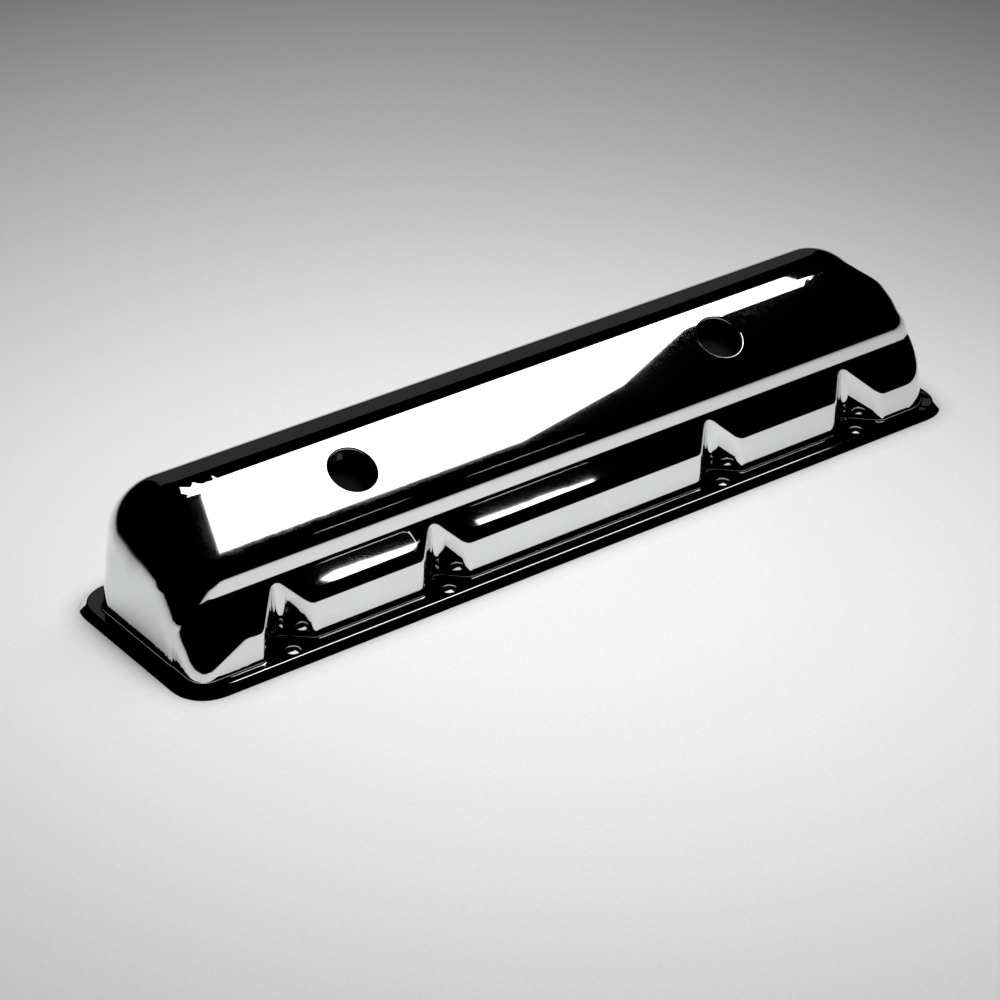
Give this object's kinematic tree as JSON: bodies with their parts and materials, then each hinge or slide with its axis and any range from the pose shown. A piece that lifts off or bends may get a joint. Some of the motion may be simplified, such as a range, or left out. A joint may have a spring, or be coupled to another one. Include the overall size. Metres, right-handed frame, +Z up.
{
  "type": "engine valve cover",
  "caption": "Chromed pressed-steel engine valve cover with a notched bolt flange, a sloped panel with round grommet holes and welded oil baffles inside.",
  "frame": {"origin": "centre of the flange in plan, at the height of its rim's lower edge", "axes": "+X along the cover, -Y towards the notched front, +Z up through the crown"},
  "size_m": [0.5, 0.121, 0.0779],
  "materials": {
    "chrome_plate": "bright mirror plating",
    "baffle_steel": "plain dull sheet"
  },
  "bodies": {
    "root": {"cover_shell": "chrome_plate", "oil_baffle_left": "baffle_steel", "oil_baffle_right": "baffle_steel"}
  },
  "joints": []
}
